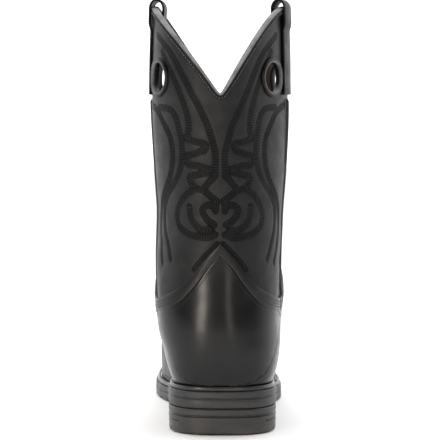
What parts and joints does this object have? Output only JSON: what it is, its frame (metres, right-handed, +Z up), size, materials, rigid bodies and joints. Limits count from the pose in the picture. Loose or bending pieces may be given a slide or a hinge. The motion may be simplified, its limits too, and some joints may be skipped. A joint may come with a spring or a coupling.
{
  "type": "western work boot",
  "caption": "Tall black leather pull-on western work boot for the right foot, with dipped stitched shaft, pull holes and straps, broad square toe, welted rubber sole and low stacked heel.",
  "frame": {"origin": "on the floor under the middle of the heel, on the heel's flat tread", "axes": "+Y runs from heel to toe, +X to the wearer's right (outer side), +Z up the shaft"},
  "size_m": [0.1153, 0.3207, 0.3426],
  "materials": {
    "outsole_rubber": "matte moulded rubber",
    "heel_rubber": "satin rubber, fine ribs",
    "welt": "waxed edge, dark",
    "insole": "smooth lining leather",
    "shaft_leather": "dull tumbled full grain, black",
    "vamp_leather": "smooth oiled full grain, black",
    "counter_leather": "smooth glossy full grain, black",
    "band_leather": "dull full grain, black",
    "piping": "pebbled, stitched, black",
    "binding": "worn grey edge binding",
    "strap": "folded pull strap, black",
    "ring": "stitched ring, dark grey edge"
  },
  "bodies": {
    "root": {"outsole": "outsole_rubber", "heel": "heel_rubber", "welt": "welt", "insole": "insole", "upper": "shaft_leather", "vamp": "vamp_leather", "heel_counter": "counter_leather", "vamp_band": "band_leather", "counter_band": "band_leather", "side_piping_medial": "piping", "side_piping_lateral": "piping", "collar_binding": "binding", "pull_strap_medial": "strap", "pull_strap_lateral": "strap", "pull_hole_ring_medial_back": "ring", "pull_hole_ring_medial_front": "ring", "pull_hole_ring_lateral_back": "ring", "pull_hole_ring_lateral_front": "ring"}
  },
  "joints": []
}
